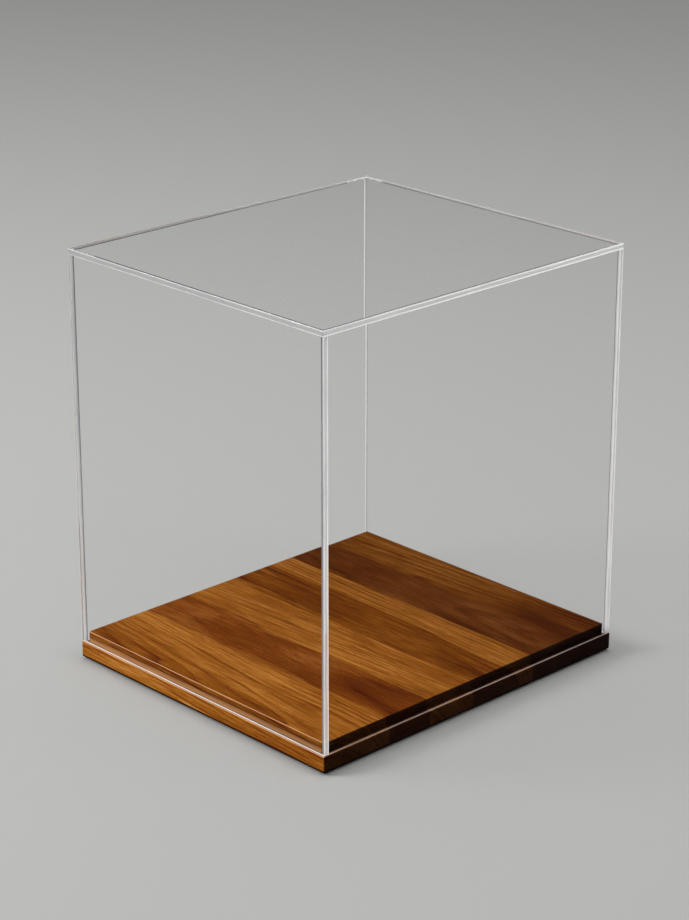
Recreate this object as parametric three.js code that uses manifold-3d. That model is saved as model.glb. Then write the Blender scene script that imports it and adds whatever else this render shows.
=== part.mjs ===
// A clear display cover for a collected object: a five-sided acrylic case, open at
// the bottom, that drops over a rebated base board glued up from staves of wood.
//
// Millimetres, +Z up. The origin is under the middle of the board, on the surface
// that the pads stand on. X runs along the staves, and -Y is the front.

import * as THREE from 'three';
import { mergeVertices } from 'three/addons/utils/BufferGeometryUtils.js';
import Module from 'manifold-3d';

const wasm = await Module();
wasm.setup();

// Base board
const boardWidth = 250;
const boardThickness = 20;
const rebateDepth = 8;
const boardArris = 0.8;
const platformArris = 0.6;
const boardCornerRadius = 1;

// Widths of the staves, from the front of the board to the back
const frontStaveWidth = 59;
const secondStaveWidth = 38;
const thirdStaveWidth = 42;
const fourthStaveWidth = 60;
const fifthStaveWidth = 38;
const rearStaveWidth = 43;

// Acrylic cover
const coverHeight = 288;
const sheetThickness = 4;
const polishedArris = 0.4;

// How the cover sits on the board: its faces stand in from the board's edges by the
// reveal, and its walls pass the platform with the clearance
const coverReveal = 0.5;
const coverClearance = 0.5;

// Felt pads under the corners of the board
const padDiameter = 20;
const padThickness = 1.5;
const padInset = 15;
const padEdgeSoftening = 0.4;

// Faces on each quarter of a rounded arris, and round a pad
const arrisFaces = 4;
const padFaces = 32;

// Lit colours of the wood, from the palest stave to the darkest, and of the rest
const paleWood = 0x965a1e;
const warmWood = 0x8c541e;
const russetWood = 0x763c0c;
const brownWood = 0x733f14;
const mutedWood = 0x693a14;
const darkWood = 0x5a2f0f;
const clearAcrylic = 0xdde4e8;
const greyFelt = 0x2e2b29;

const staves = [
  { name: 'base_stave_1', width: frontStaveWidth, colour: paleWood },
  { name: 'base_stave_2', width: secondStaveWidth, colour: russetWood },
  { name: 'base_stave_3', width: thirdStaveWidth, colour: warmWood },
  { name: 'base_stave_4', width: fourthStaveWidth, colour: brownWood },
  { name: 'base_stave_5', width: fifthStaveWidth, colour: darkWood },
  { name: 'base_stave_6', width: rearStaveWidth, colour: mutedWood },
];

// Sizes that follow from the ones above
const boardDepth = staves.reduce((sum, stave) => sum + stave.width, 0);
const rimThickness = boardThickness - rebateDepth;
const rebateWidth = coverReveal + sheetThickness + coverClearance;
const platformWidth = boardWidth - 2 * rebateWidth;
const platformDepth = boardDepth - 2 * rebateWidth;
const coverWidth = boardWidth - 2 * coverReveal;
const coverDepth = boardDepth - 2 * coverReveal;
const wallHeight = coverHeight - sheetThickness;

// Solids

function solidFrom(geometry) {
  geometry.deleteAttribute('normal');
  geometry.deleteAttribute('uv');
  const merged = mergeVertices(geometry);
  return new wasm.Manifold(new wasm.Mesh({
    numProp: 3,
    vertProperties: new Float32Array(merged.attributes.position.array),
    triVerts: new Uint32Array(merged.index.array),
  }));
}

function geometryFrom(solid) {
  const mesh = solid.getMesh();
  const indexed = new THREE.BufferGeometry();
  indexed.setAttribute('position', new THREE.BufferAttribute(mesh.vertProperties, 3));
  indexed.setIndex(new THREE.BufferAttribute(mesh.triVerts, 1));
  const faceted = indexed.toNonIndexed();
  faceted.computeVertexNormals();
  return faceted;
}

// A rectangle that stands on the middle of its base line, with round corners: the two
// low corners have one radius and the two high corners another
function roundedRectangle(width, height, lowRadius, highRadius) {
  const half = width / 2;
  const quarter = Math.PI / 2;
  const corners = [
    { x: half - lowRadius, y: lowRadius, radius: lowRadius, from: -quarter },
    { x: half - highRadius, y: height - highRadius, radius: highRadius, from: 0 },
    { x: highRadius - half, y: height - highRadius, radius: highRadius, from: quarter },
    { x: lowRadius - half, y: lowRadius, radius: lowRadius, from: 2 * quarter },
  ];
  const shape = new THREE.Shape();
  shape.moveTo(0, 0);
  for (const { x, y, radius, from } of corners) {
    if (radius > 0) shape.absarc(x, y, radius, from, from + quarter);
    else shape.lineTo(x, y);
  }
  shape.closePath();
  return shape;
}

function extruded(shape, length) {
  const geometry = new THREE.ExtrudeGeometry(shape, {
    depth: length,
    bevelEnabled: false,
    curveSegments: arrisFaces / 2,
  });
  return geometry.translate(0, 0, -length / 2);
}

// A block that stands on z = 0 with its edges eased, as it is after sanding or
// polishing: it is what its plan, its front view and its side view have in common
function easedBlock({ width, depth, height, lowArris, highArris, cornerRadius }) {
  const overlength = 2 * (width + depth + height);
  const frontView = extruded(roundedRectangle(width, height, lowArris, highArris), overlength);
  const sideView = extruded(roundedRectangle(depth, height, lowArris, highArris), overlength);
  const plan = extruded(roundedRectangle(width, depth, cornerRadius, cornerRadius), overlength);
  frontView.rotateX(Math.PI / 2);
  sideView.rotateX(Math.PI / 2).rotateZ(Math.PI / 2);
  plan.translate(0, -depth / 2, 0);
  return solidFrom(frontView).intersect(solidFrom(sideView)).intersect(solidFrom(plan));
}

// A plain box between two corners, to saw a block up with
function boxBetween(low, high) {
  const size = new THREE.Vector3().subVectors(high, low);
  const centre = new THREE.Vector3().addVectors(low, high).multiplyScalar(0.5);
  return solidFrom(new THREE.BoxGeometry(size.x, size.y, size.z).translate(...centre));
}

// Materials

function wood(colour) {
  return new THREE.MeshStandardMaterial({ color: colour, roughness: 0.42, metalness: 0 });
}

function acrylic() {
  return new THREE.MeshStandardMaterial({
    color: clearAcrylic,
    roughness: 0.03,
    metalness: 0,
    transparent: true,
    opacity: 0.25,
  });
}

function felt() {
  return new THREE.MeshStandardMaterial({ color: greyFelt, roughness: 0.95, metalness: 0 });
}

function named(name, geometry, material) {
  const mesh = new THREE.Mesh(geometry, material);
  mesh.name = name;
  return mesh;
}

// Base board: the rim and the raised platform are shaped on the glued-up blank, so
// each stave is the slice of that shape between its two glue lines

function shapedBoard() {
  const rim = easedBlock({
    width: boardWidth,
    depth: boardDepth,
    height: rimThickness,
    lowArris: boardArris,
    highArris: boardArris,
    cornerRadius: boardCornerRadius,
  });
  const platform = easedBlock({
    width: platformWidth,
    depth: platformDepth,
    height: boardThickness,
    lowArris: 0,
    highArris: platformArris,
    cornerRadius: boardCornerRadius,
  });
  return rim.add(platform);
}

function baseBoard() {
  const group = new THREE.Group();
  const blank = shapedBoard();
  let glueLine = -boardDepth / 2;
  staves.forEach((stave, index) => {
    const last = index === staves.length - 1;
    const nextGlueLine = glueLine + stave.width;
    const slice = boxBetween(
      new THREE.Vector3(-boardWidth, index === 0 ? -boardDepth : glueLine, -boardThickness),
      new THREE.Vector3(boardWidth, last ? boardDepth : nextGlueLine, 2 * boardThickness),
    );
    group.add(named(stave.name, geometryFrom(blank.intersect(slice)), wood(stave.colour)));
    glueLine = nextGlueLine;
  });
  return group;
}

// Felt pads: soft discs, each stuck on flat under a corner of the board

function feltPads() {
  const group = new THREE.Group();
  const radius = padDiameter / 2;
  const profile = [
    new THREE.Vector2(0, 0),
    new THREE.Vector2(radius - padEdgeSoftening, 0),
    new THREE.Vector2(radius, padEdgeSoftening),
    new THREE.Vector2(radius, padThickness),
    new THREE.Vector2(0, padThickness),
  ];
  const offsetX = boardWidth / 2 - padInset - radius;
  const offsetY = boardDepth / 2 - padInset - radius;
  const places = [
    { name: 'felt_pad_front_left', x: -offsetX, y: -offsetY },
    { name: 'felt_pad_front_right', x: offsetX, y: -offsetY },
    { name: 'felt_pad_rear_left', x: -offsetX, y: offsetY },
    { name: 'felt_pad_rear_right', x: offsetX, y: offsetY },
  ];
  for (const { name, x, y } of places) {
    const disc = new THREE.LatheGeometry(profile, padFaces).rotateX(Math.PI / 2);
    const pad = named(name, geometryFrom(solidFrom(disc)), felt());
    pad.position.set(x, y, 0);
    group.add(pad);
  }
  return group;
}

// Cover: five panels of sheet, cemented edge to edge and then trimmed flush and
// polished outside. The top lies over the walls, and the front and back panels run
// the full width, with the left and right panels between them.

function acrylicCover() {
  const group = new THREE.Group();
  const outside = easedBlock({
    width: coverWidth,
    depth: coverDepth,
    height: coverHeight,
    lowArris: polishedArris,
    highArris: polishedArris,
    cornerRadius: polishedArris,
  });
  const innerX = coverWidth / 2 - sheetThickness;
  const innerY = coverDepth / 2 - sheetThickness;
  const far = { x: coverWidth, y: coverDepth, z: 2 * coverHeight };
  const panels = [
    { name: 'top_panel', low: [-far.x, -far.y, wallHeight], high: [far.x, far.y, far.z] },
    { name: 'front_panel', low: [-far.x, -far.y, -far.z], high: [far.x, -innerY, wallHeight] },
    { name: 'back_panel', low: [-far.x, innerY, -far.z], high: [far.x, far.y, wallHeight] },
    { name: 'left_panel', low: [-far.x, -innerY, -far.z], high: [-innerX, innerY, wallHeight] },
    { name: 'right_panel', low: [innerX, -innerY, -far.z], high: [far.x, innerY, wallHeight] },
  ];
  for (const { name, low, high } of panels) {
    const slab = boxBetween(new THREE.Vector3(...low), new THREE.Vector3(...high));
    group.add(named(name, geometryFrom(outside.intersect(slab)), acrylic()));
  }
  return group;
}

// Assembly

const board = baseBoard();
board.position.z = padThickness;

const cover = acrylicCover();
cover.position.z = padThickness + rimThickness;

const displayCover = new THREE.Group();
displayCover.add(feltPads(), board, cover);

export default displayCover;
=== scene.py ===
"""A clear display cover on a wooden base board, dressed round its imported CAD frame.

Metres, +Z up, in the frame of the CAD model: the origin is under the middle of the
board, X runs along the staves and -Y is the front. Laid out as an add-on, run as a
script.
"""

import math

import bmesh
import bpy
from bpy.props import FloatProperty, FloatVectorProperty, IntProperty, PointerProperty
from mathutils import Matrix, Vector, noise


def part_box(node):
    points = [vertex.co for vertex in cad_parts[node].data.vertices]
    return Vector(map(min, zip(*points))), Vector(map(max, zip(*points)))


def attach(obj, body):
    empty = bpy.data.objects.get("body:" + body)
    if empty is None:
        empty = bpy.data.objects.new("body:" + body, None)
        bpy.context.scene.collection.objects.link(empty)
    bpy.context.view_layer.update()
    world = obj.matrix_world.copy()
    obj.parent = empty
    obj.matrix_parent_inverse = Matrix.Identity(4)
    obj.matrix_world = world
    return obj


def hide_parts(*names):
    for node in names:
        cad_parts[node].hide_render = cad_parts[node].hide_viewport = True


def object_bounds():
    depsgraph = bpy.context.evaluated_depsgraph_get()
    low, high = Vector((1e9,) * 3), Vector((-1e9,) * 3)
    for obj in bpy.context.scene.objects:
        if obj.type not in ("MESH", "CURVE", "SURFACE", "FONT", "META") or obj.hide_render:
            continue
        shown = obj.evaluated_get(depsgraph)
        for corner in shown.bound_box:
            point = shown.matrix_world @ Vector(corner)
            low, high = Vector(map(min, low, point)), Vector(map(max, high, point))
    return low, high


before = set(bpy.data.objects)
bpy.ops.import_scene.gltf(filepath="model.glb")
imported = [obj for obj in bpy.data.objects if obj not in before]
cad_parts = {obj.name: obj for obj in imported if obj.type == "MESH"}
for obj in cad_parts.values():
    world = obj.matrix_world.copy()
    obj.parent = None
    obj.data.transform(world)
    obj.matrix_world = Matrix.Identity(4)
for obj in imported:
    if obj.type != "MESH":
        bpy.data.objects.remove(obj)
CAD_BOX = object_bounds()

bl_info = {
    "name": "Display cover",
    "version": (1, 0, 0),
    "blender": (4, 5, 0),
    "location": "3D View > Sidebar > Display cover",
    "description": "Dresses a clear acrylic display cover and its wooden base board",
    "category": "Object",
}

MM = 0.001
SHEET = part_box("top_panel")[1].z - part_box("top_panel")[0].z
RIM_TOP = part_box("front_panel")[0].z

STAVES = [f"base_stave_{number}" for number in range(1, 7)]
PANELS = ["top_panel", "front_panel", "back_panel", "left_panel", "right_panel"]
PADS = ["front_left", "front_right", "rear_left", "rear_right"]


# Colours, nodes and objects


def linear(code):
    """Linear RGB of an sRGB hex colour."""
    parts = [int(code[at:at + 2], 16) / 255 for at in (0, 2, 4)]
    return tuple(c / 12.92 if c <= 0.04045 else ((c + 0.055) / 1.055) ** 2.4 for c in parts)


def add(tree, kind, inputs=(), **settings):
    """Adds a shader node with its settings. The inputs come in order or by name, and each is
    a value, a socket to link from, or a node, which links from its first output."""
    made = tree.nodes.new("ShaderNode" + kind)
    for key, value in settings.items():
        setattr(made, key, value)
    for key, value in inputs.items() if isinstance(inputs, dict) else enumerate(inputs):
        if isinstance(value, bpy.types.Node):
            value = value.outputs[0]
        if isinstance(value, bpy.types.NodeSocket):
            tree.links.new(value, made.inputs[key])
        else:
            made.inputs[key].default_value = value
    return made


def new_material(name):
    """A node material and its node tree, which is still empty."""
    material = bpy.data.materials.new(name)
    material.use_nodes = True
    material.node_tree.nodes.clear()
    return material, material.node_tree


def set_stops(ramp, stops):
    """Gives a Color Ramp node its stops: place, and a linear colour or one grey."""
    elements = ramp.color_ramp.elements
    while len(elements) < len(stops):
        elements.new(1.0)
    for element, (place, colour) in zip(elements, stops):
        element.position = place
        rgb = colour if isinstance(colour, tuple) else (colour,) * 3
        element.color = (*rgb, 1.0)


def new_object(context, name, mesh, materials):
    """Turns a bmesh into an object of the scene, with these materials in its slots."""
    data = bpy.data.meshes.new(name)
    mesh.to_mesh(data)
    mesh.free()
    for material in materials:
        data.materials.append(material)
    made = bpy.data.objects.new(name, data)
    context.scene.collection.objects.link(made)
    return made


# Settings


class CoverSettings(bpy.types.PropertyGroup):
    """The clear acrylic cover"""

    tint: FloatVectorProperty(
        name="Acrylic tint", description="Body colour of the clear sheet",
        subtype="COLOR", size=3, min=0, max=1, default=linear("fefefe"))
    edge_colour: FloatVectorProperty(
        name="Edge colour", description="Milky light that the cut and polished edges hold",
        subtype="COLOR", size=3, min=0, max=1, default=linear("e4e4e2"))
    core_colour: FloatVectorProperty(
        name="Core colour", description="Greyer light in the middle of the polished edges",
        subtype="COLOR", size=3, min=0, max=1, default=linear("b6b7b9"))
    glare: FloatProperty(
        name="Glare", description="Power that weakens the mirror image: 1 leaves it whole",
        min=1, max=4, default=2.4)
    edge_haze: FloatProperty(
        name="Edge haze", description="How milky the polished edges are in the middle",
        subtype="FACTOR", min=0, max=1, default=0.58)
    milled_haze: FloatProperty(
        name="Lower edge haze", description="How milky the lower edges are inside their line",
        subtype="FACTOR", min=0, max=1, default=0.15)
    # The side panels' lower edges get less haze and line as painted shade
    shaded_side_edge_haze: FloatProperty(
        name="Side lower edge haze",
        description="Share of that haze and line that the side panels' lower edges have",
        subtype="FACTOR", min=0, max=1, default=0.22)
    joint_haze: FloatProperty(
        name="Joint haze", description="How much the upright cemented joints show",
        subtype="FACTOR", min=0, max=1, default=0.78)
    top_joint_haze: FloatProperty(
        name="Top joint haze", description="How much the joints under the top show",
        subtype="FACTOR", min=0, max=1, default=0.50)
    # The joint's grey toward the inside is painted shade
    joint_shade: FloatProperty(
        name="Joint shade", description="How grey the joints are toward the inside: 1 is not",
        min=-2, max=1, default=-0.6)
    through: FloatProperty(
        name="Light through the edges", description="Share of the light behind that edges hold",
        subtype="FACTOR", min=0, max=1, default=1.0)
    caught: FloatProperty(
        name="Light on the edges", description="Share of the light in front that edges hold",
        subtype="FACTOR", min=0, max=1, default=0.75)
    arris: FloatProperty(
        name="Polished arris", description="Radius of the polished outer edges",
        subtype="DISTANCE", unit="LENGTH", min=0.0001, max=0.001, precision=5, default=0.4 * MM)


class BoardSettings(bpy.types.PropertyGroup):
    """The base board of stained and lacquered staves"""

    ring_width: FloatProperty(
        name="Ring width", description="Mean width of a year's growth",
        subtype="DISTANCE", unit="LENGTH", min=0.001, max=0.008, precision=4, default=2.7 * MM)
    pore_depth: FloatProperty(
        name="Pore depth", description="How far the open pores sink into the lacquer",
        subtype="DISTANCE", unit="LENGTH", min=0, max=0.0005, precision=6, default=0.02 * MM)
    # The paler foot of the riser is a painted glow
    foot: FloatProperty(
        name="Riser foot", description="Height of the paler foot of the riser",
        subtype="DISTANCE", unit="LENGTH", min=0, max=0.008, precision=4, default=3.5 * MM)
    # The dark line along the lower arris is painted shadow under the board
    shadow_strip: FloatProperty(
        name="Sealed edge", description="Height of the dark line along the board's lower arris",
        subtype="DISTANCE", unit="LENGTH", min=0, max=0.005, precision=4, default=1.6 * MM)
    lacquer: FloatProperty(
        name="Lacquer roughness", description="Roughness of the satin lacquer",
        subtype="FACTOR", min=0, max=1, default=0.36)
    stave_1: FloatVectorProperty(
        name="Stave 1", description="Middle tone of the front stave",
        subtype="COLOR", size=3, min=0, max=1, default=linear("82490d"))
    stave_2: FloatVectorProperty(
        name="Stave 2", description="Middle tone of the second stave",
        subtype="COLOR", size=3, min=0, max=1, default=linear("6c3404"))
    stave_3: FloatVectorProperty(
        name="Stave 3", description="Middle tone of the third stave",
        subtype="COLOR", size=3, min=0, max=1, default=linear("7f480f"))
    stave_4: FloatVectorProperty(
        name="Stave 4", description="Middle tone of the fourth stave",
        subtype="COLOR", size=3, min=0, max=1, default=linear("6f3b05"))
    stave_5: FloatVectorProperty(
        name="Stave 5", description="Middle tone of the fifth stave",
        subtype="COLOR", size=3, min=0, max=1, default=linear("4e2302"))
    stave_6: FloatVectorProperty(
        name="Stave 6", description="Middle tone of the rear stave",
        subtype="COLOR", size=3, min=0, max=1, default=linear("5f3104"))


class PadSettings(bpy.types.PropertyGroup):
    """The felt pads under the board"""

    colour: FloatVectorProperty(
        name="Felt colour", description="Colour of the needled felt",
        subtype="COLOR", size=3, min=0, max=1, default=linear("2e2b29"))
    sides: IntProperty(
        name="Sides", description="Faces round each pad", min=24, max=256, default=96)


class StageSettings(bpy.types.PropertyGroup):
    """Floor, lamps and camera"""

    floor_colour: FloatVectorProperty(
        name="Floor colour", description="Colour of the plain floor",
        subtype="COLOR", size=3, min=0, max=1, default=linear("a8a8a6"))
    floor_radius: FloatProperty(
        name="Floor radius", description="Reach of the round floor",
        subtype="DISTANCE", unit="LENGTH", min=2, max=40, default=14.0)
    backdrop: FloatProperty(
        name="Backdrop light", description="Brightness of the plain backdrop past the floor",
        min=0, max=1, default=0.144)
    horizon: FloatProperty(
        name="Horizon light", description="Strength of the surroundings at the horizon",
        min=0, max=1, default=0.03)
    ceiling: FloatProperty(
        name="Ceiling light", description="Strength of the surroundings overhead",
        min=0, max=2, default=0.90)
    key_power: FloatProperty(
        name="Key power", description="Power of the large lamp at the left",
        unit="POWER", min=0, max=200, default=86.0)
    top_power: FloatProperty(
        name="Top power", description="Power of the lamp overhead",
        unit="POWER", min=0, max=200, default=19.0)
    edge_power: FloatProperty(
        name="Edge power", description="Power of the lamp at the right that lights the edges",
        unit="POWER", min=0, max=200, default=11.0)
    lens: FloatProperty(
        name="Focal length", description="Focal length of the camera, in millimetres",
        subtype="DISTANCE_CAMERA", min=20, max=300, default=103.5)
    azimuth: FloatProperty(
        name="Azimuth", description="Direction of the camera round the object",
        subtype="ANGLE", default=math.radians(46.23))
    elevation: FloatProperty(
        name="Elevation", description="Height of the camera above the horizon",
        subtype="ANGLE", default=math.radians(20.71))
    camera_place: FloatVectorProperty(
        name="Camera place", description="Where the camera stands",
        subtype="XYZ", unit="LENGTH", size=3, default=(1.2355, -1.1857, 0.7950))


# Wood

# Oak staves, glued, sanded, stained brown and sprayed with satin lacquer. The eye gets
# long streaks, thin dark lines where one year's growth meets the next, short dark pores,
# and a low shine that breaks up in them.
# heart: where the middle of the tree lay beside the stave's own middle, across and up, mm
# lean: how far the tree's axis leans off the stave, across and up, mm per mm
# lines: how dark the lines between the years are, and blotches: how uneven the stain is
# pale_from: beyond this radius from the heart the wood is paler, mm, and pale: by how much
# right: how much painted shade darkens a stave toward its right end
GRAIN = {
    "base_stave_1": dict(heart=(-25, -25.5), lean=(0.0, -0.06), lines=1.0, blotches=0.7,
                         pale_from=40, pale=0.24, right=0.10, seed=1),
    "base_stave_2": dict(heart=(4, -80), lean=(0.01, 0.02), lines=0.6, blotches=0.75,
                         pale_from=0, pale=0.0, right=0.16, seed=2),
    "base_stave_3": dict(heart=(-60, -50), lean=(0.02, 0.02), lines=1.0, blotches=0.9,
                         pale_from=0, pale=0.0, right=0.0, seed=3),
    "base_stave_4": dict(heart=(-16, -24), lean=(-0.03, 0.0), lines=1.1, blotches=0.7,
                         pale_from=40, pale=0.40, right=0.06, seed=4),
    "base_stave_5": dict(heart=(8, -90), lean=(0.02, 0.03), lines=0.7, blotches=0.9,
                         pale_from=0, pale=0.0, right=0.0, seed=5),
    "base_stave_6": dict(heart=(-24, -32), lean=(0.02, 0.02), lines=1.0, blotches=1.0,
                         pale_from=52, pale=0.06, right=0.36, seed=6),
}

# Layers of the figure: size of a patch along the stave, across it and up, mm, and detail.
# Real fibres and pores are about 0.2 mm wide and are drawn wider to show
FIGURE = {
    "sway": ((190, 38, 60), 2.0),
    "patches": ((110, 16, 16), 3.0),
    "fibres": ((26, 0.85, 0.85), 3.0),
    "pores": ((6, 0.6, 0.6), 1.0),
}
# How far the grain wanders along the stave, across it and up, mm
WANDER = (0, 12.0, 9.0)

# A year's growth: places in it from its start to its end, and how dark it is there
YEAR = [(0.0, 0.5), (0.10, 0.0), (0.25, 0.1), (0.50, 0.3), (0.82, 0.75), (0.93, 1.0), (1.0, 0.5)]
PLAIN_YEAR = 0.3
# Years change in width over this radius, and by this much, mm
WIDTH_CHANGE, WIDTH_DIFFERS = 11.0, 6.0
# Layers that are the same all round the tree: the size of a patch along it and across the
# years, mm, and detail. A line between two years is bold in some patches and faint in others
YEAR_LAYERS = {"bold": ((70.0, 5.0), 1.0), "tones": ((160.0, 2.6), 3.0)}
BOLD_FROM, BOLD_TO, FAINTEST = 0.35, 0.65, 0.1

# Shares of the years' tones, the fibres and the dark lines in the figure. The middle of
# the wood's tones is PLAIN_WOOD, from 0 to 1
TONE_SHARE, FIBRE_SHARE, LINE_SHARE, PLAIN_WOOD = 0.80, 1.35, 0.60, 0.56
# The pale wood begins and is whole so far beyond pale_from, and the painted shade at the
# right end of a stave begins and is whole at these places along it, mm
PALE_FADE, RIGHT_SHADE_FADE = (0.5, 5.5), (20.0, 100.0)
# A dark streak is a deeper red-brown than the stave, and a light one a duller tan
DARK_STREAK, LIGHT_STREAK, TAN = (0.38, 0.18, 0.05), 1.5, (0.47, 0.33, 0.11)
# Open pores: where in their layer they begin and are whole, how dark they are, and how
# much of that shows. Past EARLY in a year only FEW of them are left
PORES, PORE_TONE, PORE_SHARE, EARLY, FEW = (0.57, 0.68), 0.22, 0.6, 0.45, 0.3
# How much duller the lacquer is in the pores and on the fibres, and how far it sinks where
# a year starts, as a share of how far it sinks into the pores
PORE_DULL, FIBRE_DULL, EARLY_SUNK = 0.25, 0.10, 0.15

# What each kind of face does to the stain, and the light and shade painted on it. The long
# sides are painted lighter and duller as painted light and sheen. The riser of the platform
# is darker as painted shade, with a painted glow at its foot under a painted shadow line.
# End grain drinks most stain, and the right end is darker still as painted shade. The lower
# arris and the faces under the board carry painted shadow, and the upper arrises a painted
# highlight
LONG_SIDE_LIGHT, RISER_SHADE, RISER_SHADOW_LINE = (1.72, 1.92, 2.7), (0.74, 0.69, 0.70), (0.60, 0.52, 0.48)
LEFT_END, RIGHT_END_STAIN_AND_SHADE, UNDER_SHADOW = (0.16, 0.13, 0.12), (0.052, 0.038, 0.030), (0.05, 0.04, 0.04)
RISER_FOOT_GLOW, ARRIS_HIGHLIGHT = linear("e9b47f"), linear("e8b183")
# How much of that the ends and the upper arrises take on, and the foot's painted glow low down
# and high up
END_SHARE, ARRIS_HIGHLIGHT_SHARE, FOOT_GLOW_SHARES = 0.9, 0.7, (0.60, 0.22)
# How far over the rim the riser and the fading of its foot's painted glow begin, and how far
# over the foot the middle of the painted shadow line is, with half its height, mm
RISER_FROM, FOOT_FROM, LINE_OVER_FOOT, HALF_LINE = 0.2, 0.5, 0.45, 0.4
# A face looks along an axis when more than ALONG of its direction lies that way, and away
# from it when less than AWAY or HARDLY does. Above FLAT it is level. End grain begins to
# show at the first END_TURN and is whole at the second
ALONG, AWAY, HARDLY, FLAT, END_TURN = 0.9, 0.3, 0.2, 0.97, (0.5, 0.95)


def figure_layer(tree, layer, where, seed):
    """One layer of the figure, with patches of the real size that FIGURE gives."""
    size, detail = FIGURE[layer]
    moved = add(tree, "VectorMath", (where, seed), operation="ADD")
    scaled = add(tree, "VectorMath", (moved, tuple(1 / side for side in size)),
                 operation="MULTIPLY")
    return add(tree, "TexNoise",
               {"Vector": scaled, "Scale": 1.0, "Detail": detail, "Roughness": 0.55})


def year_layer(tree, layer, along, radius, seed):
    """One layer that is the same all round the tree and changes slowly along it."""
    (length, width), detail = YEAR_LAYERS[layer]
    where = add(tree, "CombineXYZ", (
        add(tree, "Math", (along, 1 / length), operation="MULTIPLY"),
        add(tree, "Math", (radius, 1 / width), operation="MULTIPLY"), float(seed)))
    return add(tree, "TexNoise", {"Vector": where, "Scale": 1.0, "Detail": detail})


def year_rings(tree, place, grain, middle, ring_width):
    """Rings round the heart of the tree, which leans a little off the stave. Gives the place
    along the stave, the radius with the years' uneven widths, where a point lies in its year
    from 0 to 1, and how dark the lines between the years are there."""
    heart = (0.0, middle[1] / MM + grain["heart"][0], middle[2] / MM + grain["heart"][1])
    along = add(tree, "SeparateXYZ", (place,)).outputs["X"]
    drift = add(tree, "CombineXYZ", (along, along, along))
    drift = add(tree, "VectorMath", (drift, (1.0, *grain["lean"])), operation="MULTIPLY")
    out = add(tree, "VectorMath", (place, heart), operation="SUBTRACT")
    out = add(tree, "VectorMath", (out, drift), operation="SUBTRACT")
    radius = add(tree, "VectorMath", (out,), operation="LENGTH").outputs["Value"]

    # years differ in width: the radius is stretched and squeezed before it is cut into rings
    years = add(tree, "Math", (radius, 1 / WIDTH_CHANGE), operation="MULTIPLY")
    years = add(tree, "TexNoise", {"W": years, "Scale": 1.0, "Detail": 1.0},
                noise_dimensions="1D")
    uneven = add(tree, "Math", (years, WIDTH_DIFFERS, radius), operation="MULTIPLY_ADD")
    phase = add(tree, "Math", (uneven, MM / ring_width), operation="MULTIPLY")
    phase = add(tree, "Math", (phase,), operation="FRACT")
    late = add(tree, "ValToRGB", (phase,))
    set_stops(late, YEAR)
    late = add(tree, "Math", (late, PLAIN_YEAR), operation="SUBTRACT")

    bold = year_layer(tree, "bold", along, uneven, grain["seed"] * 5)
    bold = add(tree, "MapRange", {"Value": bold, "From Min": BOLD_FROM, "From Max": BOLD_TO,
                                  "To Min": FAINTEST, "To Max": 1.0})
    return along, uneven, phase, add(tree, "Math", (late, bold), operation="MULTIPLY")


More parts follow.
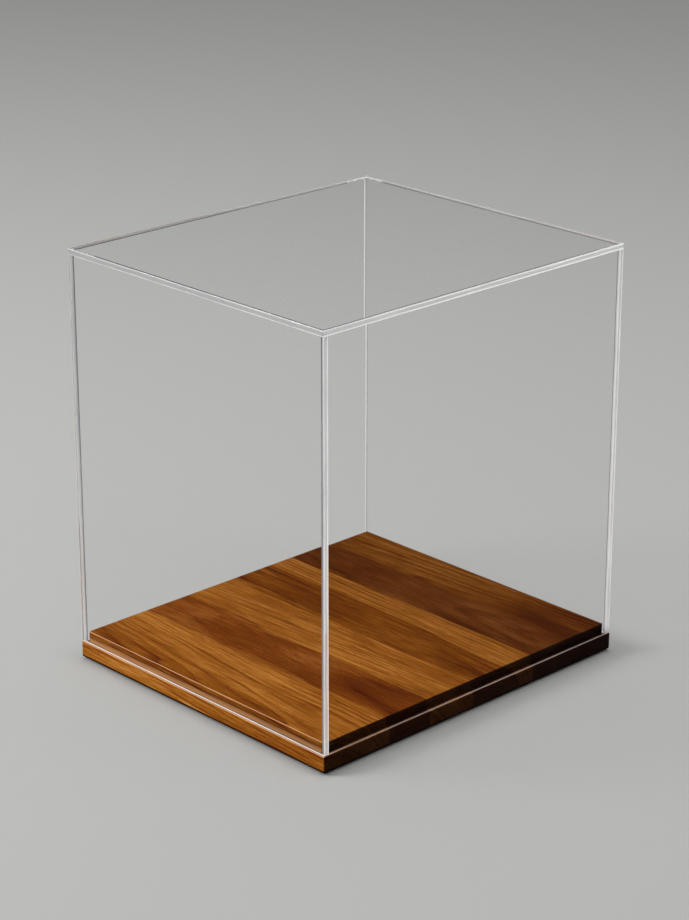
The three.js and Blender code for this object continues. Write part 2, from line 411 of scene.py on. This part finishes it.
def worked_faces(tree, tone, name, settings, mm, normal):
    """The stain's tone, changed on each kind of face of the stave: stain on the end grain, and
    the light, shade, glow and highlights painted on the faces.
    """
    facing = add(tree, "SeparateXYZ", (normal,)).outputs
    toward = {axis: add(tree, "Math", (facing[axis],), operation="ABSOLUTE") for axis in "XYZ"}
    height = add(tree, "SeparateXYZ", (mm,)).outputs["Z"]
    over = add(tree, "Math", (height, RIM_TOP / MM), operation="SUBTRACT")

    long_side = add(tree, "Math", (toward["Y"], ALONG), operation="GREATER_THAN")
    upright = add(tree, "Math", (toward["Z"], AWAY), operation="LESS_THAN")
    above = add(tree, "Math", (over, RISER_FROM), operation="GREATER_THAN")
    # the riser is darkened as painted shade
    riser = add(tree, "Math", (upright, above), operation="MULTIPLY")

    # painted glow on the foot of the riser
    foot_top = settings.foot / MM
    foot = add(tree, "MapRange",
               {"Value": over, "From Min": FOOT_FROM, "From Max": foot_top,
                "To Min": FOOT_GLOW_SHARES[0], "To Max": FOOT_GLOW_SHARES[1]})
    for mask in (add(tree, "Math", (over, foot_top), operation="LESS_THAN"), long_side, riser):
        foot = add(tree, "Math", (foot, mask), operation="MULTIPLY")
    # painted shadow line where the riser meets the ledge
    riser_shadow_line = add(tree, "Math", (over, foot_top + LINE_OVER_FOOT, HALF_LINE),
                 operation="COMPARE")
    riser_shadow_line = add(tree, "Math", (riser, riser_shadow_line), operation="MULTIPLY")

    # end grain is darkened by stain, and the right end further by painted shade
    ends = []
    for way in (-1, 1):
        end = add(tree, "Math", (facing["X"], way), operation="MULTIPLY")
        ends.append(add(tree, "MapRange", {"Value": end, "From Min": END_TURN[0],
                                           "From Max": END_TURN[1], "To Max": END_SHARE}))

    # painted shadow along the board's lowest strip and on the faces under it
    lowest = add(tree, "Math", (height, (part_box(name)[0].z + settings.shadow_strip) / MM),
                 operation="LESS_THAN")
    below = add(tree, "Math", (facing["Z"], -HARDLY), operation="LESS_THAN")
    below = add(tree, "Math", (lowest, below), operation="MAXIMUM")

    # painted highlight along the upper arrises, kept off the end grain
    arris = ARRIS_HIGHLIGHT_SHARE
    for mask in (add(tree, "Math", (facing["Z"], AWAY), operation="GREATER_THAN"),
                 add(tree, "Math", (facing["Z"], FLAT), operation="LESS_THAN"),
                 add(tree, "Math", (toward["X"], HARDLY), operation="LESS_THAN")):
        arris = add(tree, "Math", (arris, mask), operation="MULTIPLY")

    # each kind of face gets its stain change or its painted light, shade, glow or highlight
    for share, by, kind in ((long_side, LONG_SIDE_LIGHT, "MULTIPLY"),
                            (riser, RISER_SHADE, "MULTIPLY"),
                            (riser_shadow_line, RISER_SHADOW_LINE, "MULTIPLY"),
                            (foot, RISER_FOOT_GLOW, "MIX"),
                            (ends[0], LEFT_END, "MULTIPLY"),
                            (ends[1], RIGHT_END_STAIN_AND_SHADE, "MULTIPLY"),
                            (below, UNDER_SHADOW, "MULTIPLY"),
                            (arris, ARRIS_HIGHLIGHT, "MIX")):
        tone = add(tree, "Mix", {0: share, 6: tone, 7: (*by, 1)}, data_type="RGBA",
                   blend_type=kind).outputs[2]
    return tone


def stained_oak(name, colour, settings, grain, middle):
    """Stained, satin-lacquered oak for one stave, whose rings run all through it."""
    material, tree = new_material("satin_lacquered_stained_oak_" + name[-1])
    place = add(tree, "TexCoord").outputs
    mm = add(tree, "VectorMath", (place["Object"], (1 / MM,) * 3), operation="MULTIPLY")
    # each stave lies in its own part of every layer
    seed = (grain["seed"] * 173.0, grain["seed"] * 31.0, 0.0)

    wander = add(tree, "VectorMath", (figure_layer(tree, "sway", mm, seed).outputs["Color"],
                                      (0.5, 0.5, 0.5)), operation="SUBTRACT")
    wander = add(tree, "VectorMath", (wander, WANDER), operation="MULTIPLY")
    swayed = add(tree, "VectorMath", (mm, wander), operation="ADD")
    patches = figure_layer(tree, "patches", mm, seed)
    fibres = figure_layer(tree, "fibres", swayed, seed)
    pores = figure_layer(tree, "pores", swayed, seed)
    along, uneven, phase, lines = year_rings(tree, swayed, grain, middle, settings.ring_width)
    tones = year_layer(tree, "tones", along, uneven, grain["seed"] * 7)

    value = PLAIN_WOOD - (TONE_SHARE + grain["blotches"] + FIBRE_SHARE) / 2
    for source, share in ((tones, TONE_SHARE), (patches, grain["blotches"]),
                          (fibres, FIBRE_SHARE), (lines, -LINE_SHARE * grain["lines"])):
        value = add(tree, "Math", (source, share, value), operation="MULTIPLY_ADD")
    pale_fade = [grain["pale_from"] + far for far in PALE_FADE]
    # the right end of a stave is darkened as painted shade
    for source, change, (first, last), (least, most) in (
            (uneven, grain["pale"], pale_fade, (-0.5, 0.5)),
            (along, grain["right"], RIGHT_SHADE_FADE, (0.0, -1.0))):
        if change:
            faded = add(tree, "MapRange", {"Value": source, "From Min": first,
                                           "From Max": last, "To Min": least * change,
                                           "To Max": most * change},
                        interpolation_type="SMOOTHSTEP")
            value = add(tree, "Math", (value, faded), operation="ADD")
    value = add(tree, "Math", (value, 0.0), operation="ADD", use_clamp=True)
    dark = tuple(c * part for c, part in zip(colour, DARK_STREAK))
    light = tuple(LIGHT_STREAK * c + colour[0] * part for c, part in zip(colour, TAN))
    wood = add(tree, "ValToRGB", (value,))
    set_stops(wood, [(0.0, dark), (0.5, tuple(colour)), (1.0, light)])

    # open pores are short dark dashes, most of them where a year starts
    pores = add(tree, "MapRange", {"Value": pores, "From Min": PORES[0], "From Max": PORES[1]})
    early = add(tree, "MapRange",
                {"Value": phase, "From Max": EARLY, "To Min": 1.0, "To Max": FEW})
    pores = add(tree, "Math", (pores, early), operation="MULTIPLY")
    tone = add(tree, "Mix", {0: add(tree, "Math", (pores, PORE_SHARE), operation="MULTIPLY"),
                             6: wood, 7: (*(c * PORE_TONE for c in colour), 1)},
               data_type="RGBA").outputs[2]
    tone = worked_faces(tree, tone, name, settings, mm, place["Normal"])

    shine = add(tree, "Math", (pores, PORE_DULL, settings.lacquer), operation="MULTIPLY_ADD")
    shine = add(tree, "Math", (fibres, FIBRE_DULL, shine), operation="MULTIPLY_ADD")
    relief = add(tree, "Math", (early, EARLY_SUNK, pores), operation="MULTIPLY_ADD")
    bump = add(tree, "Bump", {"Strength": 0.6, "Distance": settings.pore_depth,
                              "Height": relief}, invert=True)
    surface = add(tree, "BsdfPrincipled", {"Base Color": tone, "Roughness": shine, "IOR": 1.5,
                                           "Normal": bump, "Specular IOR Level": 0.035})
    add(tree, "OutputMaterial", (surface,))
    return material


class DISPLAY_COVER_OT_board(bpy.types.Operator):
    """Gives each stave of the base board its own run of stained oak"""

    bl_idname = "display_cover.board"
    bl_label = "Finish the base board"

    def execute(self, context):
        settings = context.scene.display_cover_board
        for name in STAVES:
            low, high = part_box(name)
            colour = getattr(settings, "stave_" + name[-1])
            oak = stained_oak(name, tuple(colour), settings, GRAIN[name], (low + high) / 2)
            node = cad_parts[name]
            node.data.materials.clear()
            node.data.materials.append(oak)
        return {"FINISHED"}


# Acrylic

FACE, EDGE, MILLED, JOINT = range(4)
ACRYLIC_IOR = 1.49
# The milled edge rests on high spots of the wood, so it stands a hair off it
STAND_OFF = 0.08 * MM
# The faces of cast sheet aren't quite flat: from wave to wave, and how high
WAVE, WAVE_HEIGHT = 90 * MM, 0.05 * MM
# Light that passes a clear face, a cut face, and a milled one where it isn't milky
FACE_PASSES, CUT_PASSES, MILLED_PASSES = (0.96,) * 3, (0.85,) * 3, (0.9,) * 3

# Places across an edge or a joint go from -1 at its inner border to 1 at its outer one. A
# point under INSIDE lies further in than that, so it isn't on the edge along that side
INSIDE = -1.05
# Faint marks along the edges: how long they are, how many of them lie side by side, and
# from what to what they mostly go
MARK_LENGTH, MARKS_ACROSS, MARKS = 40 * MM, 2.5, (0.3, 0.7)
# Painted light: how much milkier an edge is at the right, the back and the foot of the cover
# than in its middle, so that the edges look lit more toward its foot and its rear right corner
PAINTED_EDGE_LIGHT = (0.07, 0.07, -0.08)
# Both borders of a polished edge begin and are whole so far off its middle, and are
# BORDER_HAZE milky. The marks shift the tone of its milk between the two STREAKS, and
# the painted light shifts it FOOT_LIGHT times as much as it shifts the haze
BORDERS, BORDER_HAZE, STREAKS, FOOT_LIGHT = (0.35, 0.9), 0.9, (-0.5, 0.6), 2.5
# The bright line on a milled edge and the bright part of a joint begin and are whole at
# these places across
MILLED_LINE, JOINT_LINE = (-0.9, -0.4), (-0.6, 0.2)
# A joint has JOINT_LEAST of its milk where the marks are faintest and JOINT_PATCHY more
# where they are strongest, and a milled edge MILLED_MARKS more there
JOINT_LEAST, JOINT_PATCHY, MILLED_MARKS = 0.8, 0.4, 0.1


def light_on_its_way(tree):
    """1 for light that only passes on its way to or from the board or the floor, which the
    flat sheets neither bend nor gather, and 0 for what the eye sees, also in a mirror."""
    path = add(tree, "LightPath").outputs
    shine = add(tree, "Math", (path["Is Glossy Ray"], path["Is Singular Ray"]),
                operation="SUBTRACT", use_clamp=True)
    matt = add(tree, "Math", (path["Is Shadow Ray"], path["Is Diffuse Ray"]),
               operation="MAXIMUM")
    return add(tree, "Math", (matt, shine), operation="MAXIMUM")


def clear_acrylic(settings):
    """Cast clear acrylic, as made: glassy and all but unseen. It bends what lies behind it
    and mirrors the room, with a slight sway in the mirror image. Glare takes the weak mirror
    image off, as a polarising filter does, and leaves what is mirrored inside the sheet."""
    material, tree = new_material("clear_cast_acrylic")
    place = add(tree, "TexCoord").outputs["Object"]
    waves = add(tree, "TexNoise", {"Vector": place, "Scale": 1 / WAVE, "Detail": 1.0})
    bump = add(tree, "Bump", {"Strength": 0.3, "Distance": WAVE_HEIGHT, "Height": waves})
    through = add(tree, "BsdfRefraction", {"Color": (*settings.tint, 1), "Roughness": 0.0,
                                           "IOR": ACRYLIC_IOR, "Normal": bump})
    mirror = add(tree, "BsdfAnisotropic",
                 {"Color": (1, 1, 1, 1), "Roughness": 0.0, "Normal": bump})
    share = add(tree, "Fresnel", {"IOR": ACRYLIC_IOR})
    share = add(tree, "Math", (share, settings.glare), operation="POWER")
    sheet = add(tree, "MixShader", (share, through, mirror))
    clear = add(tree, "BsdfTransparent", {"Color": (*FACE_PASSES, 1)})
    mixed = add(tree, "MixShader", (light_on_its_way(tree), sheet, clear))
    add(tree, "OutputMaterial", (mixed,))
    return material


def edge_profile(tree, cover):
    """Where a point lies on a cut face of the sheet. across goes from -1 at the inner or lower
    border of an edge to 1 at its outer or upper one, outward the same across a joint, marks
    run along the edge from 0 to 1, painted_glow is painted light, more toward the foot and
    the rear right corner, and on_side is 1 along the left and right panels."""
    place = add(tree, "TexCoord").outputs["Object"]
    parts = add(tree, "SeparateXYZ", (place,)).outputs
    half = SHEET / 2
    across = {}
    for axis, middle in zip("XYZ", (corner - half for corner in cover[1])):
        far = parts[axis]
        if axis != "Z":
            far = add(tree, "Math", (far,), operation="ABSOLUTE")
        far = add(tree, "Math", (far, middle), operation="SUBTRACT")
        across[axis] = add(tree, "Math", (far, 1 / half), operation="MULTIPLY")
    chosen = across["X"]
    for axis in "YZ":
        on_edge = add(tree, "Math", (across[axis], INSIDE), operation="GREATER_THAN")
        chosen = add(tree, "Mix", {0: on_edge, 2: chosen, 3: across[axis]})
    outward = add(tree, "Math", (across["X"], across["Y"]), operation="MAXIMUM")
    on_side = add(tree, "Math", (across["Y"], INSIDE), operation="LESS_THAN")

    run = add(tree, "VectorMath", (place, (1 / MARK_LENGTH,) * 3),
              operation="DOT_PRODUCT").outputs["Value"]
    beside = add(tree, "Math", (chosen, MARKS_ACROSS), operation="MULTIPLY")
    marks = add(tree, "TexNoise", {"Vector": add(tree, "CombineXYZ", (run, beside)),
                                   "Scale": 1.0, "Detail": 2.0})

    middle, reach = (cover[0] + cover[1]) / 2, (cover[1] - cover[0]) / 2
    painted_glow = add(tree, "VectorMath", (place, middle), operation="SUBTRACT")
    rise = tuple(more / far for more, far in zip(PAINTED_EDGE_LIGHT, reach))
    painted_glow = add(tree, "VectorMath", (painted_glow, rise),
                   operation="DOT_PRODUCT").outputs["Value"]
    return {"across": chosen, "outward": outward, "marks": marks, "painted_glow": painted_glow,
            "on_side": on_side}


def worked_acrylic(name, settings, cover, milkiness, under, caught, through):
    """A cut face of the sheet, which glows with the light that the sheet gathers: milky by
    the share that milkiness(tree, profile) gives, over the shader that under(tree) gives.
    What milkiness gives second takes the milk from the core's colour to the border's. caught
    and through are the shares of the light in front and behind that the milk holds."""
    material, tree = new_material(name)
    share, border = milkiness(tree, edge_profile(tree, cover))
    colour = add(tree, "Mix", {0: border, 6: (*settings.core_colour, 1),
                               7: (*settings.edge_colour, 1)},
                 data_type="RGBA", clamp_factor=False).outputs[2]
    lit = add(tree, "BsdfDiffuse", {"Color": colour})
    lit = add(tree, "MixShader", {0: caught, 2: lit})
    held = add(tree, "BsdfTranslucent", {"Color": colour})
    held = add(tree, "MixShader", {0: through, 2: held})
    milk = add(tree, "AddShader", (lit, held))
    edge = add(tree, "MixShader", (share, under(tree), milk))
    clear = add(tree, "BsdfTransparent", {"Color": (*CUT_PASSES, 1)})
    mixed = add(tree, "MixShader", (light_on_its_way(tree), edge, clear))
    add(tree, "OutputMaterial", (mixed,))
    return material


def polished_edge(settings, cover):
    """Flame-polished edge of the sheet: two bright borders with a greyer, clearer middle,
    faint streaks along it, and painted light that brightens it toward the foot of the cover."""
    def milkiness(tree, profile):
        far = add(tree, "Math", (profile["across"],), operation="ABSOLUTE")
        border = add(tree, "MapRange",
                     {"Value": far, "From Min": BORDERS[0], "From Max": BORDERS[1]},
                     interpolation_type="SMOOTHSTEP")
        haze = add(tree, "MapRange", {"Value": border, "To Min": settings.edge_haze,
                                      "To Max": BORDER_HAZE})
        share = add(tree, "Math", (haze, profile["painted_glow"]), operation="ADD",
                    use_clamp=True)
        streak = add(tree, "MapRange", {"Value": profile["marks"], "From Min": MARKS[0],
                                        "From Max": MARKS[1], "To Min": STREAKS[0],
                                        "To Max": STREAKS[1]})
        streak = add(tree, "Math", (profile["painted_glow"], FOOT_LIGHT, streak),
                     operation="MULTIPLY_ADD")
        return share, add(tree, "Math", (border, streak), operation="ADD", use_clamp=True)

    def glass(tree):
        return add(tree, "BsdfPrincipled",
                   {"Base Color": (*settings.tint, 1), "Roughness": 0.06, "IOR": ACRYLIC_IOR,
                    "Transmission Weight": 1.0})

    return worked_acrylic("flame_polished_acrylic_edge", settings, cover, milkiness, glass,
                          settings.caught, settings.through)


def milled_edge(settings, cover):
    """Milled lower edge, which stands on the wood: it glows in a broad line along its outer
    border, made fainter under the side panels as painted shade, and lets the wood show through
    behind that."""
    def milkiness(tree, profile):
        line = add(tree, "MapRange", {"Value": profile["across"], "From Min": MILLED_LINE[0],
                                      "From Max": MILLED_LINE[1],
                                      "To Min": settings.milled_haze, "To Max": 1.0},
                   interpolation_type="SMOOTHSTEP")
        # painted shade: the side panels' lower edges are fainter
        held = add(tree, "Mix", {0: profile["on_side"], 2: 1.0, 3: settings.shaded_side_edge_haze})
        share = add(tree, "Math", (line, held), operation="MULTIPLY")
        share = add(tree, "Math", (profile["marks"], MILLED_MARKS, share),
                    operation="MULTIPLY_ADD", use_clamp=True)
        return share, line

    def clear(tree):
        return add(tree, "BsdfTransparent", {"Color": (*MILLED_PASSES, 1)})

    return worked_acrylic("milled_acrylic_edge", settings, cover, milkiness, clear, 1.0, 0.0)


def cemented_joint(settings, cover):
    """Solvent-cemented joint: the two sheets are one there, but for a milky film that is
    painted greyer toward the inside of the cover as painted shade, and lit more by the painted
    light toward the foot and the rear right corner."""
    def milkiness(tree, profile):
        facing = add(tree, "SeparateXYZ", (add(tree, "TexCoord").outputs["Normal"],))
        level = add(tree, "Math", (facing.outputs["Z"],), operation="ABSOLUTE")
        haze = add(tree, "Mix", {0: level, 2: settings.joint_haze, 3: settings.top_joint_haze})
        haze = add(tree, "Math", (haze, profile["painted_glow"]), operation="ADD")
        patchy = add(tree, "Math", (profile["marks"], JOINT_PATCHY, JOINT_LEAST),
                     operation="MULTIPLY_ADD")
        share = add(tree, "Math", (haze, patchy), operation="MULTIPLY", use_clamp=True)
        # painted shade: the joint is greyer toward the inside
        tone = add(tree, "MapRange", {"Value": profile["outward"], "From Min": JOINT_LINE[0],
                                      "From Max": JOINT_LINE[1],
                                      "To Min": settings.joint_shade, "To Max": 1.0},
                   interpolation_type="SMOOTHSTEP")
        return share, tone

    def clear(tree):
        return add(tree, "BsdfTransparent")

    return worked_acrylic("solvent_cemented_acrylic_joint", settings, cover, milkiness, clear,
                          settings.caught, settings.through)


def outline(names):
    """Lowest and highest corner of several CAD nodes together."""
    boxes = [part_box(name) for name in names]
    low = Vector(min(box[0][axis] for box in boxes) for axis in range(3))
    high = Vector(max(box[1][axis] for box in boxes) for axis in range(3))
    return low, high


def panel_mesh(name, cover, inner, arris):
    """One panel of the cover as a closed slab: outer edges rounded, faces sorted by finish.

    cover and inner are the corners of the whole cover and of the space inside it."""
    low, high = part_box(name)
    if low.z - cover[0].z < arris:
        low.z = cover[0].z
    mesh = bmesh.new()
    bmesh.ops.create_cube(mesh, size=1.0)
    for vert in mesh.verts:
        vert.co = Vector(high[axis] if vert.co[axis] > 0 else low[axis] for axis in range(3))
    # cut where the neighbours' inner faces meet this panel
    for axis in (0, 1):
        for limit in (inner[0][axis], inner[1][axis]):
            if low[axis] + arris < limit < high[axis] - arris:
                side, at = Vector((0, 0, 0)), Vector((0, 0, 0))
                side[axis], at[axis] = 1.0, limit
                bmesh.ops.bisect_plane(mesh, geom=[*mesh.verts, *mesh.edges, *mesh.faces],
                                       plane_co=at, plane_no=side)
    near = 1e-6

    def outside(place):
        """The sides of the whole cover that a point lies on."""
        return {(axis, end) for axis in range(3) for end in (0, 1)
                if abs(place[axis] - cover[end][axis]) < near}

    sharp = [edge for edge in mesh.edges
             if len(outside(edge.verts[0].co) & outside(edge.verts[1].co)) == 2]
    bmesh.ops.bevel(mesh, geom=sharp, offset=arris, segments=3, profile=0.5,
                    affect="EDGES", clamp_overlap=True)
    for face in mesh.faces:
        centre, normal = face.calc_center_median(), face.normal
        axis = max(range(3), key=lambda at: abs(normal[at]))
        flat = abs(normal[axis]) > 0.9999
        face.smooth = not flat
        in_wall = any(not inner[0][at] < centre[at] < inner[1][at]
                      for at in range(3) if at != axis)
        if not flat:
            face.material_index = EDGE
        elif any(side[0] == axis for side in outside(centre)):
            lower = axis == 2 and normal[2] < 0
            cut = high[axis] - low[axis] > 2 * SHEET
            face.material_index = MILLED if lower else EDGE if cut else FACE
        else:
            face.material_index = JOINT if in_wall else FACE
    return mesh


class DISPLAY_COVER_OT_cover(bpy.types.Operator):
    """Builds the five cemented acrylic panels of the cover"""

    bl_idname = "display_cover.cover"
    bl_label = "Build the acrylic cover"

    def execute(self, context):
        settings = context.scene.display_cover_cover
        cover = outline(PANELS)
        cover[0].z += STAND_OFF
        finishes = (clear_acrylic(settings), polished_edge(settings, cover),
                    milled_edge(settings, cover), cemented_joint(settings, cover))
        left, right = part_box("left_panel"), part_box("right_panel")
        front, back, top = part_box("front_panel"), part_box("back_panel"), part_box("top_panel")
        inner = (Vector((left[1].x, front[1].y, cover[0].z)),
                 Vector((right[0].x, back[0].y, top[0].z)))
        for name in PANELS:
            piece = new_object(context, name + "_sheet",
                               panel_mesh(name, cover, inner, settings.arris), finishes)
            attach(piece, "cover")
            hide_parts(name)
        return {"FINISHED"}


# Felt

# Size of a tuft in the felt. Real fibres are far finer, and are drawn as tufts to show
TUFT = 0.9 * MM
# The rounded lower edge of a pad as a share of its thickness, and how ragged its cut side
# is, with how quickly that changes round the pad and up its side
SOFT_EDGE, RAGGED, RAGS_ROUND, RAGS_UP = 0.35, 0.12 * MM, 9, 2


def needled_felt(settings):
    """Needled wool felt: matt and dark, with a loose tangle of paler fibres."""
    material, tree = new_material("needled_wool_felt")
    place = add(tree, "TexCoord").outputs["Object"]
    tangle = add(tree, "TexNoise", {"Vector": place, "Scale": 1 / TUFT, "Detail": 6.0,
                                    "Roughness": 0.75, "Distortion": 1.5})
    colour = tuple(settings.colour)
    fibres = add(tree, "ValToRGB", (tangle,))
    set_stops(fibres, [(0.3, tuple(c * 0.5 for c in colour)), (0.55, colour),
                       (0.75, tuple(c * 2.6 for c in colour))])
    bump = add(tree, "Bump", {"Strength": 0.8, "Distance": 0.2 * MM, "Height": tangle})
    surface = add(tree, "BsdfPrincipled", {"Base Color": fibres, "Roughness": 0.95,
                                           "Sheen Weight": 0.4, "Sheen Roughness": 0.5,
                                           "Normal": bump})
    add(tree, "OutputMaterial", (surface,))
    return material


def pad_mesh(low, high, sides):
    """A die-cut felt disc: soft lower edge, and a side that the cutter left a bit ragged."""
    radius, thick = (high.x - low.x) / 2, high.z - low.z
    middle = (low + high) / 2
    edge = SOFT_EDGE * thick
    # distance from the middle and height, from the lower face up the side
    profile = [(radius - edge, 0.0), (radius - 0.45 * edge, 0.12 * edge),
               (radius - 0.12 * edge, 0.45 * edge), (radius, edge), (radius, 0.6 * thick),
               (radius - 0.08 * edge, 0.85 * thick), (radius - 0.3 * edge, thick)]
    mesh = bmesh.new()
    rings = []
    for out, up in profile:
        ring = []
        for step in range(sides):
            turn = 2 * math.pi * step / sides
            at = Vector((math.cos(turn), math.sin(turn), 0.0))
            rag = at * RAGS_ROUND + Vector((0, 0, up / thick * RAGS_UP))
            ragged = noise.noise(rag) * 0.5 - 0.5
            far = out + ragged * RAGGED * (0 < up)
            ring.append(mesh.verts.new(Vector((middle.x, middle.y, low.z + up)) + at * far))
        rings.append(ring)
    for lower, upper in zip(rings, rings[1:]):
        for step in range(sides):
            after = (step + 1) % sides
            mesh.faces.new((lower[step], lower[after], upper[after], upper[step]))
    for ring, up in ((rings[0], 0.0), (rings[-1], thick)):
        centre = mesh.verts.new(Vector((middle.x, middle.y, low.z + up)))
        for step in range(sides):
            after = (step + 1) % sides
            order = (ring[after], ring[step]) if up == 0 else (ring[step], ring[after])
            mesh.faces.new((centre, *order))
    bmesh.ops.recalc_face_normals(mesh, faces=mesh.faces)
    for face in mesh.faces:
        face.smooth = len(face.verts) == 4
    return mesh


class DISPLAY_COVER_OT_pads(bpy.types.Operator):
    """Builds the four felt pads under the board"""

    bl_idname = "display_cover.pads"
    bl_label = "Build the felt pads"

    def execute(self, context):
        settings = context.scene.display_cover_pads
        felt = needled_felt(settings)
        for corner in PADS:
            name = "felt_pad_" + corner
            piece = new_object(context, name + "_disc",
                               pad_mesh(*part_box(name), settings.sides), (felt,))
            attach(piece, "base")
            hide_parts(name)
        return {"FINISHED"}


# Stage

# Lamps: where each stands, and the side of its square, in metres
LAMPS = {
    "key": ((-1.75, -2.05, 1.7), 1.2),
    "top": ((-0.3, 0.3, 2.2), 1.6),
    "edge": ((1.6, 0.9, 1.6), 1.0),
}
FLOOR_SIDES = 96
# The backdrop past the floor fades out between these heights of the line of sight, and
# the surroundings get lighter with this power of it
BACKDROP_FADE, CEILING_POWER = (0.12, 0.24), 3.0


def plain_floor(context, settings):
    """A round floor of matt paint, which gives the eye nothing but soft shadows."""
    material, tree = new_material("matt_painted_floor")
    paint = add(tree, "BsdfPrincipled", {"Base Color": (*settings.floor_colour, 1),
                                         "Roughness": 0.9, "Specular IOR Level": 0.2})
    add(tree, "OutputMaterial", (paint,))
    mesh = bmesh.new()
    bmesh.ops.create_circle(mesh, cap_ends=True, segments=FLOOR_SIDES,
                            radius=settings.floor_radius)
    return new_object(context, "floor", mesh, (material,))


def studio_world(settings):
    """White surroundings, darker toward the horizon, with a plain pale backdrop past the
    floor's rim that is as bright as the floor there."""
    world = bpy.data.worlds.new("studio")
    world.use_nodes = True
    tree = world.node_tree
    tree.nodes.clear()
    rise = add(tree, "SeparateXYZ", (add(tree, "TexCoord").outputs["Generated"],))
    rise = rise.outputs["Z"]
    up = add(tree, "Math", (rise, CEILING_POWER), operation="POWER")
    strength = add(tree, "MapRange",
                   {"Value": up, "To Min": settings.horizon, "To Max": settings.ceiling})
    band = add(tree, "MapRange", {"Value": rise, "From Min": BACKDROP_FADE[0],
                                  "From Max": BACKDROP_FADE[1], "To Min": settings.backdrop,
                                  "To Max": 0.0}, interpolation_type="SMOOTHSTEP")
    strength = add(tree, "Math", (strength, band), operation="ADD")
    light = add(tree, "Background", ((1, 1, 1, 1), strength))
    add(tree, "OutputWorld", (light,))
    return world


def soft_lamp(context, name, power):
    """A square soft lamp that faces the object."""
    place, side = LAMPS[name]
    data = bpy.data.lights.new(name + "_lamp", "AREA")
    data.energy, data.size = power, side
    lamp = bpy.data.objects.new(name + "_lamp", data)
    target = (CAD_BOX[0] + CAD_BOX[1]) / 2
    lamp.location = place
    lamp.rotation_euler = (target - Vector(place)).to_track_quat("-Z", "Y").to_euler()
    context.scene.collection.objects.link(lamp)


def photo_camera(context, settings):
    """The camera, at the photograph's viewing angle."""
    lens = bpy.data.cameras.new("camera")
    lens.lens = settings.lens
    lens.clip_start, lens.clip_end = 0.01, 100
    camera = bpy.data.objects.new("camera", lens)
    turn, rise = settings.azimuth, settings.elevation
    back = Vector((math.sin(turn) * math.cos(rise), -math.cos(turn) * math.cos(rise),
                   math.sin(rise)))
    camera.location = settings.camera_place
    camera.rotation_euler = (-back).to_track_quat("-Z", "Y").to_euler()
    context.scene.collection.objects.link(camera)
    return camera


class DISPLAY_COVER_OT_stage(bpy.types.Operator):
    """Lays the plain floor and sets up the lamps and the camera"""

    bl_idname = "display_cover.stage"
    bl_label = "Set the stage"

    def execute(self, context):
        scene = context.scene
        settings = scene.display_cover_stage
        scene.view_settings.view_transform = "Standard"
        floor = plain_floor(context, settings)
        scene.world = studio_world(settings)
        for name in LAMPS:
            soft_lamp(context, name, getattr(settings, name + "_power"))
        scene.camera = photo_camera(context, settings)
        return {"FINISHED"}


class DISPLAY_COVER_PT_panel(bpy.types.Panel):
    """The display cover's pieces and their settings"""

    bl_idname = "DISPLAY_COVER_PT_panel"
    bl_label = "Display cover"
    bl_space_type = "VIEW_3D"
    bl_region_type = "UI"
    bl_category = "Display cover"

    def draw(self, context):
        for operator, group in STEPS:
            box = self.layout.box()
            box.operator(operator)
            settings = getattr(context.scene, group)
            for key in settings.__annotations__:
                box.prop(settings, key)


STEPS = [
    ("display_cover.stage", "display_cover_stage"),
    ("display_cover.board", "display_cover_board"),
    ("display_cover.cover", "display_cover_cover"),
    ("display_cover.pads", "display_cover_pads"),
]

GROUPS = {
    "display_cover_stage": StageSettings,
    "display_cover_board": BoardSettings,
    "display_cover_cover": CoverSettings,
    "display_cover_pads": PadSettings,
}

CLASSES = [
    *GROUPS.values(),
    DISPLAY_COVER_OT_stage,
    DISPLAY_COVER_OT_board,
    DISPLAY_COVER_OT_cover,
    DISPLAY_COVER_OT_pads,
    DISPLAY_COVER_PT_panel,
]


def register():
    for item in CLASSES:
        bpy.utils.register_class(item)
    for name, group in GROUPS.items():
        setattr(bpy.types.Scene, name, PointerProperty(type=group))


def unregister():
    for name in GROUPS:
        delattr(bpy.types.Scene, name)
    for item in reversed(CLASSES):
        bpy.utils.unregister_class(item)


def main():
    register()
    bpy.ops.display_cover.stage()
    bpy.ops.display_cover.board()
    bpy.ops.display_cover.cover()
    bpy.ops.display_cover.pads()


if __name__ == "__main__":
    main()
